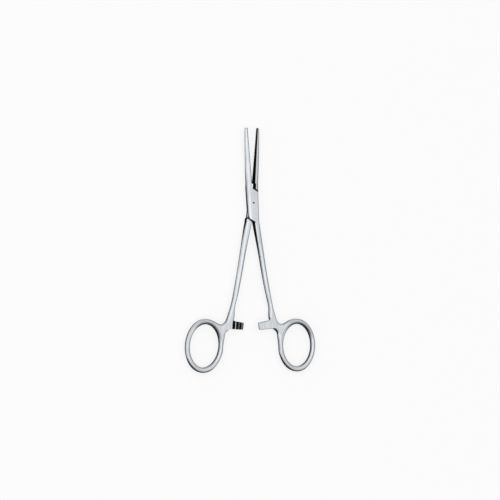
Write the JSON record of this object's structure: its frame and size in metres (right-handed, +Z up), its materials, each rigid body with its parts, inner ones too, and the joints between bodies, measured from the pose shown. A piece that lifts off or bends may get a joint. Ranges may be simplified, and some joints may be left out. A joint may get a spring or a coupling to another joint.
{
  "type": "hemostat forceps",
  "caption": "Straight hemostat forceps with a box lock, serrated jaws, a toothed ratchet and two finger rings, lying flat and slightly open.",
  "frame": {"origin": "on the pivot axis of the box lock, in the plane of its back face", "axes": "+X across the instrument to the finger ring of the outer (slotted) half, +Y along the instrument towards the jaw tips, +Z up through its thickness, from the back face it lies on"},
  "size_m": [0.0919, 0.1581, 0.005],
  "materials": {
    "instrument_steel": "satin-polished stainless steel"
  },
  "bodies": {
    "outer_half": {"female_half": "instrument_steel", "box_lock_pin": "instrument_steel"},
    "inner_half": {"male_half": "instrument_steel"}
  },
  "joints": [
    {"name": "box_lock", "type": "hinge", "parent": "outer_half", "child": "inner_half", "pos_m": [0, 0, 0.0025], "axis": [0, 0, 1], "range_deg": [-41.86, 8.14]}
  ]
}
